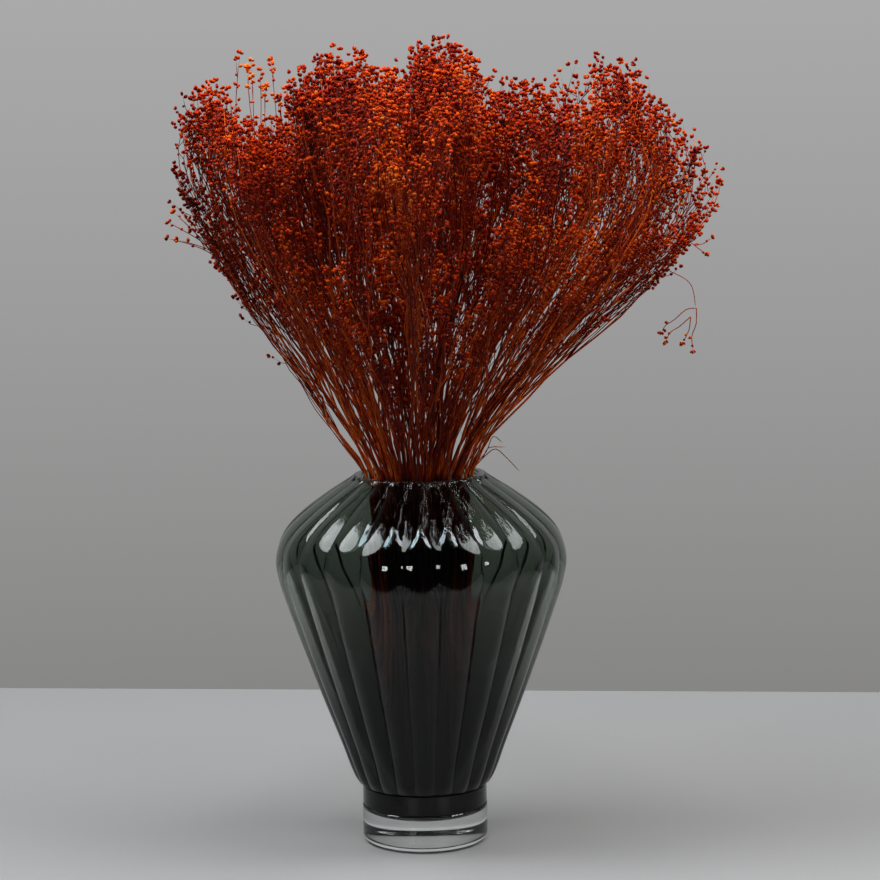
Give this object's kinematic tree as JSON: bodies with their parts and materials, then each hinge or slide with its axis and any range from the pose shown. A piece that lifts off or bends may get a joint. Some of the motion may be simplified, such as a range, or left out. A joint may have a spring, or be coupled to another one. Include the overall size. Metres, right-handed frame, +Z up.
{
  "type": "dried broom bloom",
  "caption": "Loose fan of dried broom bloom, rust-red bud sprays on fine stems, standing in a fluted smoke-glass vase with a round clear foot.",
  "frame": {"origin": "centre of the foot's flat underside", "axes": "+Z up through the vase to the crown of the bunch, -Y to the front, +X to the right, where the bunch spreads furthest"},
  "size_m": [0.3925, 0.339, 0.5703],
  "materials": {
    "smoked_glass": "polished",
    "clear_glass": "polished",
    "dried_bloom": "satin"
  },
  "bodies": {
    "root": {"vase_bowl": "smoked_glass", "vase_foot": "clear_glass", "broom_spray_01": "dried_bloom", "broom_spray_02": "dried_bloom", "broom_spray_03": "dried_bloom", "broom_spray_04": "dried_bloom", "broom_spray_05": "dried_bloom", "broom_spray_06": "dried_bloom", "broom_spray_07": "dried_bloom", "broom_spray_08": "dried_bloom", "broom_spray_09": "dried_bloom", "broom_spray_10": "dried_bloom", "broom_spray_11": "dried_bloom", "broom_spray_12": "dried_bloom", "broom_spray_13": "dried_bloom", "broom_spray_14": "dried_bloom", "broom_spray_15": "dried_bloom", "broom_spray_16": "dried_bloom", "broom_spray_17": "dried_bloom", "broom_spray_18": "dried_bloom", "broom_spray_19": "dried_bloom", "broom_spray_20": "dried_bloom", "broom_spray_21": "dried_bloom", "broom_spray_22": "dried_bloom", "broom_spray_23": "dried_bloom", "broom_spray_24": "dried_bloom", "broom_spray_25": "dried_bloom", "broom_spray_26": "dried_bloom", "broom_spray_27": "dried_bloom", "broom_spray_28": "dried_bloom", "broom_spray_29": "dried_bloom", "broom_spray_30": "dried_bloom", "broom_spray_31": "dried_bloom", "broom_spray_32": "dried_bloom", "broom_spray_33": "dried_bloom", "broom_spray_34": "dried_bloom", "broom_spray_35": "dried_bloom", "broom_spray_36": "dried_bloom", "broom_spray_37": "dried_bloom", "broom_spray_38": "dried_bloom", "broom_spray_39": "dried_bloom", "broom_spray_40": "dried_bloom"}
  },
  "joints": []
}
